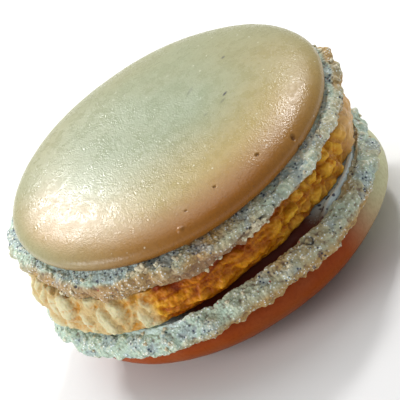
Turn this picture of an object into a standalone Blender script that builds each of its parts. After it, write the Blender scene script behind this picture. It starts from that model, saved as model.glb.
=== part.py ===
"""A French macaron: two baked shells with a buttercream layer between.

Each shell is a smooth domed cap over a ruffled foot.
The macaron lies on the flattened crown of its lower shell.
The origin is the middle of that resting spot and +Z points up.
The upper shell sits a little askew, so the filling between the shells is a wedge, thinner towards -Y.
"""

from math import acos, atan2, cos, pi, radians, sin

import bpy
from mathutils import Matrix, Vector, noise

MM = 0.001

# Driving dimensions, before the unevenness of a baked thing is added.
SEGMENTS = 96
TOUCH_GAP = 0.3 * MM
REST_RADIUS = 7.0 * MM

LOWER_CAP_RADIUS = 22.7 * MM
LOWER_CAP_DEPTH = 5.7 * MM
LOWER_FOOT_RADIUS = 24.5 * MM
LOWER_FACE_RADIUS = 22.6 * MM
LOWER_SHELL_HEIGHT = 11.3 * MM
LOWER_FOOT_SHIFT = Vector((-0.3, 0.0, 0.0)) * MM

FILLING_RADIUS = 22.2 * MM
FILLING_HEIGHT = 5.7 * MM

UPPER_CAP_RADIUS = 22.5 * MM
UPPER_CAP_RISE = 3.4 * MM
UPPER_FOOT_RADIUS = 24.2 * MM
UPPER_FACE_RADIUS = 22.0 * MM
UPPER_SHELL_HEIGHT = 8.2 * MM
UPPER_FOOT_SHIFT = Vector((-0.3, 0.0, 0.0)) * MM

CAP_EDGE = 1.5 * MM
CREASE_DEPTH = 0.9 * MM
DOME_FULLNESS = 0.75
FOOT_STEP = 0.3 * MM
FACE_FLAT = 0.6
FILLING_BELLY = 0.9 * MM
SHARP_ANGLE = radians(50)
WELD_DISTANCE = 0.01 * MM

# The upper shell leans about a point inside the filling.
LEAN_CENTRE = Vector((0.0, 0.0, 15.0)) * MM
LEAN_ABOUT_X = radians(3.2)
LEAN_ABOUT_Y = radians(-0.5)

# Unevenness: (size, waves round the rim, direction of one crest in degrees).
LOWER_RIM_WAVES = ((0.25 * MM, 1, -165), (0.20 * MM, 2, -80), (0.22 * MM, 7, -12))
LOWER_DROOP_WAVES = ((0.30 * MM, 1, -150), (0.22 * MM, 3, -140), (0.12 * MM, 8, 30))
UPPER_RIM_WAVES = ((0.15 * MM, 1, -170), (0.25 * MM, 3, -100), (0.16 * MM, 8, -92))
UPPER_DROOP_WAVES = ((0.22 * MM, 3, -95), (0.14 * MM, 5, 60), (0.10 * MM, 9, 20))
FILLING_WAVES = ((1.15 * MM, 1, -170), (1.30 * MM, 2, -160), (0.20 * MM, 5, -110))
FRILL_SIZE = 0.65 * MM
FRILL_SCALE = 3.2 * MM
LUMP_SIZE = 0.60 * MM
LUMP_SCALE = 2.9 * MM


def material(name, colour, roughness):
    """A plain dielectric finish in a linear colour."""
    finish = bpy.data.materials.new(name)
    finish.use_nodes = True
    shader = finish.node_tree.nodes["Principled BSDF"]
    shader.inputs["Base Color"].default_value = (*colour, 1.0)
    shader.inputs["Roughness"].default_value = roughness
    shader.inputs["Metallic"].default_value = 0.0
    finish.diffuse_color = (*colour, 1.0)
    return finish


def waves(azimuth, terms):
    """The sum of a few cosine waves round the rim."""
    return sum(size * cos(count * (azimuth - radians(crest))) for size, count, crest in terms)


def smooth_step(value, low, high):
    """0 below low and 1 above high, with a smooth change between."""
    share = min(max((value - low) / (high - low), 0.0), 1.0)
    return share * share * (3.0 - 2.0 * share)


def dome(radius, rise, flat_radius=0.0, count=8):
    """(radius, height) from the crown of a dome out to its widest ring, at height 0.

    The crown is flat out to flat_radius.
    """
    first = acos((flat_radius / radius) ** (1 / DOME_FULLNESS))
    angles = [first * (1 - step / count) for step in range(count + 1)]
    points = [(radius * cos(angle) ** DOME_FULLNESS, rise * sin(angle)) for angle in angles]
    if flat_radius:
        return [(0.0, points[0][1])] + points
    return [(0.0, rise)] + points[1:]


def cap_edge(radius, depth, count=3):
    """(radius, height) of the rounded edge that curls in under the widest ring."""
    angles = [pi / 2 * step / count for step in range(1, count + 1)]
    return [(radius - depth + depth * cos(angle), -depth * sin(angle)) for angle in angles[:-1]]


def foot_side(inner, outer, high, low, count=5):
    """(radius, height) down the bulging side of a foot, from under the cap to its lower edge."""
    points = []
    for step in range(count + 1):
        turn = step / count
        bulge = sin(pi * (0.12 + 0.66 * turn)) ** 0.6
        points.append((inner + (outer - inner) * bulge, high + (low - high) * turn))
    return points


def shell_profile(cap_radius, rise, foot_radius, face_radius, height, flat_radius=0.0):
    """(radius, height) of a shell with its crown up, down its outer side to its flat face at height 0."""
    crown = dome(cap_radius, rise, flat_radius)
    ring = height - crown[0][1]
    cap = [(r, ring + z) for r, z in crown + cap_edge(cap_radius, CAP_EDGE)]
    under_cap = ring - CAP_EDGE
    crease = (cap_radius - CREASE_DEPTH, under_cap)
    foot = foot_side(cap_radius - FOOT_STEP, foot_radius, under_cap - FOOT_STEP, FOOT_STEP)
    face = [(face_radius, 0.0), (face_radius * FACE_FLAT, 0.0), (0.0, 0.0)]
    return cap + [crease] + foot + face


def filling_profile(radius, height, count=6):
    """(radius, height) of a soft layer whose side bellies out a little between two flat faces."""
    side = []
    for step in range(count + 1):
        turn = step / count
        side.append((radius - FILLING_BELLY * abs(2 * turn - 0.9) ** 2.2, height * (1 - turn)))
    return [(0.0, height), (radius * FACE_FLAT, height)] + side + [(radius * FACE_FLAT, 0.0), (0.0, 0.0)]


def turned(name, profile, collection):
    """A solid of revolution about Z, from a profile that runs down its outer side."""
    mesh = bpy.data.meshes.new(name)
    mesh.from_pydata([(r, 0.0, z) for r, z in profile], [(i, i + 1) for i in range(len(profile) - 1)], [])
    piece = bpy.data.objects.new(name, mesh)
    collection.objects.link(piece)
    screw = piece.modifiers.new("Turn", "SCREW")
    screw.axis = "Z"
    screw.angle = 2 * pi
    screw.steps = screw.render_steps = SEGMENTS
    screw.use_merge_vertices = True
    screw.merge_threshold = WELD_DISTANCE
    bpy.context.view_layer.update()
    solid = bpy.data.meshes.new_from_object(piece.evaluated_get(bpy.context.evaluated_depsgraph_get()))
    piece.modifiers.clear()
    piece.data = solid
    bpy.data.meshes.remove(mesh)
    solid.name = name
    solid.shade_smooth()
    solid.set_sharp_from_angle(angle=SHARP_ANGLE)
    return piece


def reshape(piece, move):
    """Moves every vertex of a piece to move(position, radius, azimuth)."""
    for vertex in piece.data.vertices:
        spot = vertex.co.copy()
        vertex.co = move(spot, spot.xy.length, atan2(spot.y, spot.x))


def outward(azimuth):
    return Vector((cos(azimuth), sin(azimuth), 0.0))


def ruffle(spot, scale, salt):
    """A smooth random height from -1 to 1 that changes over about one scale."""
    return noise.noise(spot / scale + Vector((salt, 2.7 * salt, -1.3 * salt)))


def bake_unevenly(
    piece, face, crown_side, foot_height, cap_radius, shift, rim_waves, droop_waves, salt
):
    """Makes a shell's foot ruffled, drooping and off centre.

    face is the height of the shell's flat face, and crown_side is 1 where the crown is above it and -1 below.
    """

    def move(spot, radius, azimuth):
        in_foot = 1 - smooth_step((spot.z - face) * crown_side, foot_height * 0.8, foot_height * 1.15)
        spread = in_foot * smooth_step(radius, cap_radius - 1.3 * MM, cap_radius + 0.1 * MM)
        hang = in_foot * smooth_step(radius, cap_radius + 0.4 * MM, cap_radius + 1.6 * MM)
        frill = FRILL_SIZE * ruffle(spot, FRILL_SCALE, salt)
        spot += spread * (shift + outward(azimuth) * (waves(azimuth, rim_waves) + frill))
        spot.z -= hang * waves(azimuth, droop_waves)
        return spot

    reshape(piece, move)


def lean():
    """The turn that sets the upper shell askew."""
    turn = Matrix.Rotation(LEAN_ABOUT_Y, 4, "Y") @ Matrix.Rotation(LEAN_ABOUT_X, 4, "X")
    return Matrix.Translation(LEAN_CENTRE) @ turn @ Matrix.Translation(-LEAN_CENTRE)


def make_lower_shell(collection):
    """The lower shell, turned crown down, with its crown flat where it rests."""
    profile = shell_profile(
        LOWER_CAP_RADIUS,
        LOWER_CAP_DEPTH,
        LOWER_FOOT_RADIUS,
        LOWER_FACE_RADIUS,
        LOWER_SHELL_HEIGHT,
        REST_RADIUS,
    )
    piece = turned("bottom_shell", profile, collection)
    piece.data.transform(Matrix.Translation((0.0, 0.0, LOWER_SHELL_HEIGHT)) @ Matrix.Rotation(pi, 4, "X"))
    bake_unevenly(
        piece,
        face=LOWER_SHELL_HEIGHT,
        crown_side=-1,
        foot_height=LOWER_SHELL_HEIGHT - LOWER_CAP_DEPTH - CAP_EDGE,
        cap_radius=LOWER_CAP_RADIUS,
        shift=LOWER_FOOT_SHIFT,
        rim_waves=LOWER_RIM_WAVES,
        droop_waves=LOWER_DROOP_WAVES,
        salt=4.0,
    )
    piece.data.materials.append(material("baked shell, lower", (0.42, 0.33, 0.20), 0.55))
    return piece


def make_filling(collection):
    """The buttercream, off centre and held back at the front right.

    Its upper face leans with the upper shell.
    """
    piece = turned("filling", filling_profile(FILLING_RADIUS, FILLING_HEIGHT), collection)
    base = LOWER_SHELL_HEIGHT + TOUCH_GAP
    turn = lean()

    def move(spot, radius, azimuth):
        side = smooth_step(radius, FILLING_RADIUS * 0.7, FILLING_RADIUS)
        lump = LUMP_SIZE * ruffle(Vector((spot.x, spot.y, spot.z * 0.8)), LUMP_SCALE, 9.0)
        spot += side * outward(azimuth) * (waves(azimuth, FILLING_WAVES) + lump)
        share = spot.z / FILLING_HEIGHT
        low = Vector((spot.x, spot.y, base))
        high = turn @ Vector((spot.x, spot.y, base + FILLING_HEIGHT))
        return low.lerp(high, share)

    reshape(piece, move)
    piece.data.materials.append(material("buttercream", (0.46, 0.23, 0.035), 0.45))
    return piece


def make_upper_shell(collection):
    """The upper shell, crown up, resting askew on the filling."""
    profile = shell_profile(
        UPPER_CAP_RADIUS, UPPER_CAP_RISE, UPPER_FOOT_RADIUS, UPPER_FACE_RADIUS, UPPER_SHELL_HEIGHT
    )
    piece = turned("top_shell", profile, collection)
    bake_unevenly(
        piece,
        face=0.0,
        crown_side=1,
        foot_height=UPPER_SHELL_HEIGHT - UPPER_CAP_RISE - CAP_EDGE,
        cap_radius=UPPER_CAP_RADIUS,
        shift=UPPER_FOOT_SHIFT,
        rim_waves=UPPER_RIM_WAVES,
        droop_waves=UPPER_DROOP_WAVES,
        salt=1.0,
    )
    base = LOWER_SHELL_HEIGHT + TOUCH_GAP + FILLING_HEIGHT + TOUCH_GAP
    piece.data.transform(lean() @ Matrix.Translation((0.0, 0.0, base)))
    piece.data.materials.append(material("baked shell, upper", (0.47, 0.46, 0.30), 0.5))
    return piece


def main():
    for thing in list(bpy.data.objects):
        bpy.data.objects.remove(thing)
    scene = bpy.context.scene
    scene.unit_settings.system = "METRIC"
    scene.unit_settings.scale_length = 1.0
    macaron = bpy.data.collections.new("macaron")
    scene.collection.children.link(macaron)
    make_lower_shell(macaron)
    make_filling(macaron)
    make_upper_shell(macaron)


main()
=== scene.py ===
"""The looks of a French macaron: crusts, foamy feet, buttercream and crumbs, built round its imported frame."""

from math import acos, atan2, cos, degrees, exp, hypot, pi, radians, sin
from random import Random

import bmesh
import bpy
from bpy.props import FloatProperty, FloatVectorProperty, IntProperty, PointerProperty
from mathutils import Matrix, Vector, noise


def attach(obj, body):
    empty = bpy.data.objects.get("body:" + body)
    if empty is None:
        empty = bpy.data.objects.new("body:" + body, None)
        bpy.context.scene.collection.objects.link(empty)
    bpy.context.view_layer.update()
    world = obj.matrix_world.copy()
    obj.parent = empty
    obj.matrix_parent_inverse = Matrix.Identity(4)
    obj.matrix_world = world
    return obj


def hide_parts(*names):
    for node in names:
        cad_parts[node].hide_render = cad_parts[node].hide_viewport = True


bl_info = {
    "name": "French Macaron",
    "version": (1, 0, 0),
    "blender": (4, 5, 0),
    "location": "3D View > Sidebar > Macaron",
    "description": "Builds a macaron's shells, feet, buttercream and crumbs round its packed frame",
    "category": "Object",
}

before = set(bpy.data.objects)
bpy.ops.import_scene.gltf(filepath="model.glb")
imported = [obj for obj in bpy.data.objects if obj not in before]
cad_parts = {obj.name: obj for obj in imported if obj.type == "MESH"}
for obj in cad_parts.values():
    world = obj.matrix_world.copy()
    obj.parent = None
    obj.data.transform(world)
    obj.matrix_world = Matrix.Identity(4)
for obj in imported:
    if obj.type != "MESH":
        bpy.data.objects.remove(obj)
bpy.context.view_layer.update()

MM = 0.001
BODY = "root"

# The shells as they were turned, before they baked unevenly.
DOME_FULLNESS = 0.75
LOWER_FACE = 11.3 * MM
UPPER_FACE = 17.6 * MM
UPPER_RING = 4.8 * MM
LOWER_TUCK = 2.4 * MM
FOOT_SHIFT = Vector((-0.3, 0.0, 0.0)) * MM
FRILL_SIZE = 0.65 * MM
FRILL_SCALE = 3.2 * MM
CREAM_GAP = 0.15 * MM
FOOT_SHOWN = (20.6 * MM, 21.4 * MM)
SAG_REACH = (17.0 * MM, 21.0 * MM)
RIDGE_REACH = 21.6 * MM
HOLE_RADIUS = 23.5 * MM
BEAD_SIDE = -69.0
BEAD_RADIUS = 23.0 * MM

# Stretches of the rim: the azimuths in degrees where each starts, is full, fades and ends.
GROOVE = (-68, -56, 40, 80)
# The trench also marks where painted shadow lies under the buttercream
TRENCH = (-126, -112, -63, -52)
FRONT_PUSH = (-140, -120, -96, -80)
SMOOTH_CREAM = (-34, -22, -2, 18)
# The stretch of the lower crust painted paler, as painted light where it faces the lamps
LIT_PALE_BASE = (-62, -26, 95, 180)

# Fineness of the meshes: steps round the axis, and spacing along an outline.
UPPER_FOOT_STEPS = 1152
LOWER_FOOT_STEPS = 1088
CREAM_STEPS = 1024
CAP_STEPS = 384
FOOT_SPACING = 0.135 * MM
CREAM_SPACING = 0.15 * MM
CAP_SPACING = 0.36 * MM
WELD_DISTANCE = 0.001 * MM

# The upper shell leans about a point inside the filling.
LEAN_CENTRE = Vector((0.0, 0.0, 15.0)) * MM
LEAN_ABOUT_X = radians(3.2)
LEAN_ABOUT_Y = radians(-0.5)

# Unevenness: (size, waves round the rim, direction of one crest in degrees).
LOWER_RIM_WAVES = ((0.25 * MM, 1, -165), (0.20 * MM, 2, -80), (0.22 * MM, 7, -12))
LOWER_DROOP_WAVES = ((0.30 * MM, 1, -150), (0.22 * MM, 3, -140), (0.12 * MM, 8, 30))
UPPER_RIM_WAVES = ((0.15 * MM, 1, -170), (0.25 * MM, 3, -100), (0.16 * MM, 8, -92))
UPPER_DROOP_WAVES = ((0.22 * MM, 3, -95), (0.14 * MM, 5, 60), (0.10 * MM, 9, 20))
CREAM_WAVES = ((1.15 * MM, 1, -170), (1.30 * MM, 2, -160), (0.20 * MM, 5, -110))

# Marks on the upper crust: (azimuth in degrees, distance from the middle, length, width, depth of a pit or
# strength of a speck, turn in degrees). A pit with a negative depth is a blister.
CRUST_PITS = (
    (-84, 19.3 * MM, 0.34 * MM, 0.30 * MM, 0.16 * MM, 0),
    (-65, 20.0 * MM, 0.42 * MM, 0.34 * MM, 0.20 * MM, 20),
    (-97, 20.0 * MM, 0.26 * MM, 0.24 * MM, 0.12 * MM, 0),
    (-53, 22.1 * MM, 0.60 * MM, 0.34 * MM, 0.40 * MM, 70),
    (-101, 21.8 * MM, 0.55 * MM, 0.40 * MM, -0.22 * MM, 0),
)
CRUST_SPECKS = (
    (-20, 10.2 * MM, 0.62 * MM, 0.26 * MM, 1.0, 35),
    (-28, 10.0 * MM, 0.80 * MM, 0.30 * MM, 0.35, 35),
    (23, 13.2 * MM, 0.42 * MM, 0.30 * MM, 0.75, 30),
    (16, 6.4 * MM, 1.30 * MM, 0.40 * MM, 0.25, 50),
    (-42, 8.2 * MM, 0.60 * MM, 0.30 * MM, 0.25, 20),
)

# Holes in the feet: (azimuth in degrees, height above the shell's flat face, reach).
UPPER_FOOT_HOLES = (
    (-167, 1.9 * MM, 0.55 * MM),
    (-155, 1.5 * MM, 0.85 * MM),
    (-52, 1.8 * MM, 0.45 * MM),
    (-34, 1.9 * MM, 0.50 * MM),
    (-25, 2.0 * MM, 0.45 * MM),
)
LOWER_FOOT_HOLES = (
    (-43, -1.5 * MM, 0.50 * MM),
    (-75, -3.1 * MM, 0.60 * MM),
)

# Lumps torn from the upper foot: (azimuth in degrees, distance from the axis, height above the face, size).
CHUNKS = (
    (-118, 22.9 * MM, 3.25 * MM, 0.62 * MM),
    (-121, 23.3 * MM, 2.95 * MM, 0.45 * MM),
    (-116.5, 23.3 * MM, 2.95 * MM, 0.40 * MM),
    (-113, 23.0 * MM, 3.15 * MM, 0.30 * MM),
    (-82, 23.75 * MM, 1.45 * MM, 0.60 * MM),
    (-80, 23.85 * MM, 1.60 * MM, 0.50 * MM),
    (-84, 23.70 * MM, 1.20 * MM, 0.55 * MM),
    (-86, 23.65 * MM, 1.05 * MM, 0.40 * MM),
    (-78.5, 23.95 * MM, 1.50 * MM, 0.35 * MM),
)

# Lamps: (name, azimuth and elevation in degrees, distance, width and height in metres, power setting).
LAMPS = (
    ("soft overhead", 100, 72, 0.70, 0.45, 0.45, "overhead"),
    ("left window", 108, 38, 0.60, 0.11, 0.06, "left_window"),
    ("right window", 58, 47, 0.60, 0.07, 0.11, "right_window"),
    ("side lamp", -172, 18, 0.60, 0.35, 0.25, "side_lamp"),
)
LAMP_AIM = 15 * MM
CAMERA_AIM = 14.0 * MM
CAMERA_SIDESTEP = 0.393 * MM
CAMERA_DROP = 1.29 * MM
FLOOR_SIZE = 2.0


def length_setting(name, description, default):
    """A length property, in metres."""
    return FloatProperty(name=name, description=description, default=default, unit="LENGTH")


def power_setting(name, description, default):
    """A lamp's power, in watts."""
    return FloatProperty(name=name, description=description, default=default, unit="POWER")


def angle_setting(name, description, default):
    """An angle property, in radians."""
    return FloatProperty(name=name, description=description, default=default, subtype="ANGLE")


def colour(name, description, default):
    """A colour property, in linear light."""
    return FloatVectorProperty(
        name=name, description=description, default=default, subtype="COLOR", size=3, min=0.0, max=1.0
    )


class MacaronSizes(bpy.types.PropertyGroup):
    """Sizes of the shells and the buttercream."""

    upper_radius: length_setting("Upper cap radius", "Radius of the upper cap", 22.5 * MM)
    upper_rise: length_setting("Upper cap rise", "Height of the dome above its widest ring", 3.4 * MM)
    lower_radius: length_setting("Lower cap radius", "Radius of the lower cap", 22.7 * MM)
    lower_depth: length_setting("Lower cap depth", "Depth of the dome below its widest ring", 5.7 * MM)
    rest_radius: length_setting("Rest radius", "Radius of the flat that the macaron stands on", 7.0 * MM)
    edge: length_setting("Cap edge", "Radius of the rounded edge of both caps", 1.5 * MM)
    cream_radius: length_setting("Buttercream radius", "Mean radius of the buttercream", 22.2 * MM)
    cream_height: length_setting("Buttercream height", "Thickness of the buttercream", 6.0 * MM)


class TextureSizes(bpy.types.PropertyGroup):
    """Sizes of the bubbles, clefts and grain."""

    lump: length_setting("Foam lump", "Width of the foam's broad lumps", 2.2 * MM)
    bubble: length_setting("Bubble", "Width of a large bubble of the foam", 0.60 * MM)
    grain: length_setting("Foam grain", "Width of a small bubble of the foam", 0.36 * MM)
    cleft: length_setting("Cleft depth", "Depth of the clefts in the buttercream", 0.55 * MM)
    crust_grain: length_setting("Crust grain", "Width of the fine grain in the crust", 0.22 * MM)
    crumb_count: IntProperty(
        name="Crumbs", description="Number of loose crumbs on the feet", default=110, min=0
    )


class MacaronColours(bpy.types.PropertyGroup):
    """Colours of the baked and piped parts."""

    crust_pale: colour("Pale crust", "Middle of the upper crust", (0.295, 0.335, 0.215))
    # Golden crust: the crust's own tone towards the rim, laid on more heavily on the near side as painted shade
    crust_gold: colour("Golden crust", "Upper crust towards its rim", (0.405, 0.285, 0.080))
    # Browned crust: the rim's own brown, partly painted shade on the near rim, under the rim's curl and low on
    # the lower crust
    crust_browned_and_shaded: colour("Browned crust", "Rim of the upper crust", (0.28, 0.10, 0.006))
    # Painted shade: the brown of the lower crust on its shaded near side
    base_shaded_brown: colour("Brown lower crust", "Lower crust in the middle of its side", (0.30, 0.045, 0.001))
    # Painted light: the paler olive of the lower crust on the side that faces the lamps
    base_lit_olive: colour("Pale lower crust", "Lower crust where it baked least", (0.56, 0.56, 0.33))
    # Painted light: the cool tone of lit foam, mixed with the foam's own patchy tone
    foam_cool_lit: colour("Cool foam", "Foam that faces up", (0.44, 0.565, 0.45))
    # Tan foam: the foam's own tan patches and the crumbs' tan, and painted shade on the near side and low down
    # on the feet
    foam_tan_and_shade: colour("Tan foam", "Foam that faces down", (0.45, 0.29, 0.10))
    # Painted light on the tops of the bubbles; the crumbs take it as their own pale colour
    foam_crest: colour("Foam crests", "Tops of the bubbles", (0.76, 0.72, 0.52))
    # Painted shade between the bubbles; the crumbs take it for their own dark grain
    foam_brown: colour("Foam hollows", "Between the bubbles", (0.20, 0.11, 0.075))
    # Painted shade under the upper foot, on its ragged lower edge and in its hollow
    foam_underside_shade: colour("Browned foam", "Underside of the upper foot", (0.22, 0.11, 0.07))
    # Pale smooth skin of the lower shell's face, with a painted pale blue sheen
    foam_ledge_sheen: colour("Foam ledge", "Smooth rim of the lower shell's face", (0.72, 0.88, 0.94))
    # Painted shade in the clefts of the pale buttercream
    cream_honey_shade: colour("Honey buttercream", "Clefts of the pale buttercream", (0.50, 0.25, 0.02))
    foam_blue: colour("Blue foam", "Foam in the shade of the upper cap", (0.34, 0.43, 0.46))
    # Painted highlight colour: a peach tint under the highlight at the left of the upper crust
    crust_highlight_peach: colour("Peach crust", "Upper crust at the left", (0.66, 0.34, 0.15))
    cream_peach: colour("Peach buttercream", "Smooth buttercream at the far right", (0.66, 0.42, 0.18))
    # Painted shade inside open bubbles, the crack, the holes, the groove and the ring round the bead
    foam_pit: colour("Open bubbles", "Inside of open bubbles", (0.012, 0.02, 0.07))
    # Painted light on the crests of the buttercream at the right
    cream_tan: colour("Tan buttercream", "Crests of the buttercream at the right", (0.84, 0.50, 0.035))
    # Painted shadow under the overhanging edge of the buttercream, in the trench
    gap: colour("Gap", "Lower shell under the edge of the buttercream", (0.12, 0.015, 0.004))
    # Painted light on the crests and on the left of the buttercream
    cream_lit_pale: colour("Pale buttercream", "Dried crests of the buttercream", (0.60, 0.55, 0.33))
    cream_gold: colour("Golden buttercream", "Body of the buttercream", (0.56, 0.185, 0.001))
    # Painted shade in the clefts and on the shaded near side of the buttercream
    cream_amber_shade: colour("Amber buttercream", "Clefts of the buttercream", (0.25, 0.035, 0.0))
    grain_tint: colour("Grain of the upper crust", "Tint of the fine grain", (0.80, 0.78, 0.74))
    base_grain_tint: colour("Grain of the lower crust", "Tint of the fine grain", (0.78, 0.74, 0.70))
    light_dot: colour("Light dots", "Lightest dots of the upper crust", (0.85, 0.85, 0.70))
    dark_dot: colour("Dark dots", "Pores of the upper crust", (0.12, 0.07, 0.05))
    # Painted shade inside the pits of the upper crust
    crust_pit: colour("Crust pits", "Inside of the pits in the upper crust", (0.14, 0.05, 0.015))
    crust_speck: colour("Crust specks", "Specks on the upper crust", (0.05, 0.045, 0.06))
    foam_dot: colour("Red dots", "Small red dots on the foam", (0.40, 0.02, 0.02))
    # Painted highlights on the tips of the bubbles
    foam_painted_glint: colour("Foam glints", "Glossy tips of the bubbles", (0.86, 0.95, 1.0))
    floor: colour("Floor", "Studio floor", (0.80, 0.80, 0.80))


class StudioSettings(bpy.types.PropertyGroup):
    """The camera and the lamps."""

    camera_elevation: angle_setting("Camera elevation", "Angle above the floor", radians(27.39))
    camera_roll: angle_setting("Camera roll", "Turn about the view axis", radians(32.74))
    camera_distance: length_setting("Camera distance", "Distance to the target", 320 * MM)
    lens: FloatProperty(
        name="Lens", description="Focal length in millimetres", default=222.6
    )
    overhead: power_setting("Overhead lamp", "Power of the soft lamp above", 1.45)
    left_window: power_setting("Left window", "Power of the lamp behind the left side", 1.8)
    right_window: power_setting("Right window", "Power of the lamp behind the right side", 1.5)
    side_lamp: power_setting("Side lamp", "Power of the soft lamp at the left", 2.2)
    ambient: FloatProperty(
        name="Ambient light", description="Strength of the even light all round", default=0.45
    )


# Shapes


def smooth_step(value, low, high):
    """0 up to low, 1 from high on, with a smooth rise between."""
    share = min(max((value - low) / (high - low), 0.0), 1.0)
    return share * share * (3.0 - 2.0 * share)


def fade(value, low, high):
    """1 up to low, 0 from high on, with a smooth fall between."""
    return 1.0 - smooth_step(value, low, high)


def between(value, start, full, fading, end):
    """1 from full to fading, with a smooth rise from start and a smooth fall to end."""
    return smooth_step(value, start, full) * fade(value, fading, end)


def bell(away, width):
    """1 where away is 0, falling off on either side over about one width."""
    return exp(-((away / width) ** 2))


def waves(azimuth, terms):
    """The sum of a few cosine waves round the rim."""
    return sum(size * cos(count * (azimuth - radians(crest))) for size, count, crest in terms)


def near(azimuth, centre, reach):
    """1 where azimuth is at centre, falling to 0 at reach to either side, all in degrees."""
    away = abs((azimuth - centre + 180.0) % 360.0 - 180.0)
    return fade(away, 0.0, reach)


def polar(spot):
    """(distance from the axis, azimuth, azimuth in degrees) of a spot."""
    azimuth = atan2(spot.y, spot.x)
    return spot.xy.length, azimuth, degrees(azimuth)


def outward(azimuth):
    """The level direction away from the axis."""
    return Vector((cos(azimuth), sin(azimuth), 0.0))


def ruffle(spot, scale, salt):
    """A smooth random height from -1 to 1 that changes over about one scale."""
    return noise.noise(spot / scale + Vector((salt, 2.7 * salt, -1.3 * salt)))


def arc(centre, half_width, half_height, first, last, count=24):
    """(radius, height) points on part of an ellipse, between two angles in degrees."""
    turns = [radians(first + (last - first) * step / count) for step in range(count + 1)]
    return [(centre[0] + half_width * cos(turn), centre[1] + half_height * sin(turn)) for turn in turns]


def dome(radius, rise, flat_radius=0.0, count=60):
    """(radius, height) from the crown of a dome out to its widest ring, at height 0."""
    first = acos((flat_radius / radius) ** (1 / DOME_FULLNESS)) if flat_radius else pi / 2
    angles = [first * (1 - step / count) for step in range(count + 1)]
    return [(radius * cos(angle) ** DOME_FULLNESS, rise * sin(angle)) for angle in angles]


def evenly(points, spacing):
    """The same line of (radius, height) points, cut into steps of about one spacing."""
    lengths = [hypot(b[0] - a[0], b[1] - a[1]) for a, b in zip(points, points[1:])]
    count = max(2, round(sum(lengths) / spacing))
    step = sum(lengths) / count
    line = [points[0]]
    walked = 0.0
    for (a, b), length in zip(zip(points, points[1:]), lengths):
        while len(line) < count and len(line) * step <= walked + length:
            share = (len(line) * step - walked) / length
            line.append((a[0] + (b[0] - a[0]) * share, a[1] + (b[1] - a[1]) * share))
        walked += length
    line.append(points[-1])
    return line


def turned(outline, steps):
    """A closed bmesh turned about Z, from an outline of (radius, height) that starts and ends on the axis.

    An eighth is spun and then doubled three times, which is far quicker than spinning the whole turn.
    """
    shape = bmesh.new()
    points = [shape.verts.new((radius, 0.0, height)) for radius, height in outline]
    edges = [shape.edges.new(pair) for pair in zip(points, points[1:])]
    eighth = pi / 4
    axis = {"cent": (0, 0, 0), "axis": (0, 0, 1), "dvec": (0, 0, 0)}
    bmesh.ops.spin(shape, geom=points + edges, angle=eighth, steps=steps // 8, **axis)
    for doubling in range(3):
        copied = bmesh.ops.duplicate(shape, geom=shape.verts[:] + shape.edges[:] + shape.faces[:])
        moved = [element for element in copied["geom"] if isinstance(element, bmesh.types.BMVert)]
        turn = Matrix.Rotation(eighth * 2**doubling, 3, "Z")
        bmesh.ops.rotate(shape, cent=(0, 0, 0), matrix=turn, verts=moved)
    bmesh.ops.remove_doubles(shape, verts=shape.verts, dist=WELD_DISTANCE)
    bmesh.ops.recalc_face_normals(shape, faces=shape.faces)
    return shape


def refine(shape, spots, reach, cuts):
    """Cuts the faces within reach of any of the spots into smaller ones."""
    close = [
        edge
        for edge in shape.edges
        if any((edge.verts[0].co - spot).length < reach for spot in spots)
    ]
    bmesh.ops.subdivide_edges(shape, edges=close, cuts=cuts, use_grid_fill=True)


def sculpt(shape, names, move):
    """Moves every vertex to the place that move(position, normal) gives, and keeps its other values."""
    layers = [shape.verts.layers.float.new(name) for name in names]
    shape.normal_update()
    moved = [move(vertex.co.copy(), vertex.normal.copy()) for vertex in shape.verts]
    for vertex, (place, *values) in zip(shape.verts, moved):
        vertex.co = place
        for layer, value in zip(layers, values):
            vertex[layer] = value


def add_piece(name, shape, finish, node):
    """Makes a finished piece from a bmesh. It rides with the macaron's body and stands for a CAD node."""
    for face in shape.faces:
        face.smooth = True
    mesh = bpy.data.meshes.new(name)
    shape.to_mesh(mesh)
    shape.free()
    mesh.materials.append(finish)
    piece = bpy.data.objects.new(name, mesh)
    bpy.context.scene.collection.objects.link(piece)
    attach(piece, BODY)
    if node:
        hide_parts(node)
    return piece


def lean():
    """Sets the upper shell, turned on the floor with its crown up, askew on the filling."""
    turn = Matrix.Rotation(LEAN_ABOUT_Y, 4, "Y") @ Matrix.Rotation(LEAN_ABOUT_X, 4, "X")
    lift = Matrix.Translation(Vector((0, 0, UPPER_FACE)) - LEAN_CENTRE)
    return Matrix.Translation(LEAN_CENTRE) @ turn @ lift


# Foam


def bubble_dome(spot, size, salt):
    """Height, from 0 to 1, of round bubbles packed about one size apart."""
    away = noise.voronoi(spot / size + Vector((salt, salt * 2.1, -salt)))[0][0]
    return max(0.0, 1.0 - away * away * 1.5)


def open_bubble(spot, size, salt, share):
    """Depth, from 0 to 1, of round holes in a share of the cells about one size apart."""
    distances, cells = noise.voronoi(spot / size + Vector((-salt, salt * 1.3, salt * 2.9)))
    if noise.cell(cells[0] * 31.0) < 1.0 - 2.0 * share:
        return 0.0
    return fade(distances[0], 0.10, 0.36)


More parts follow.
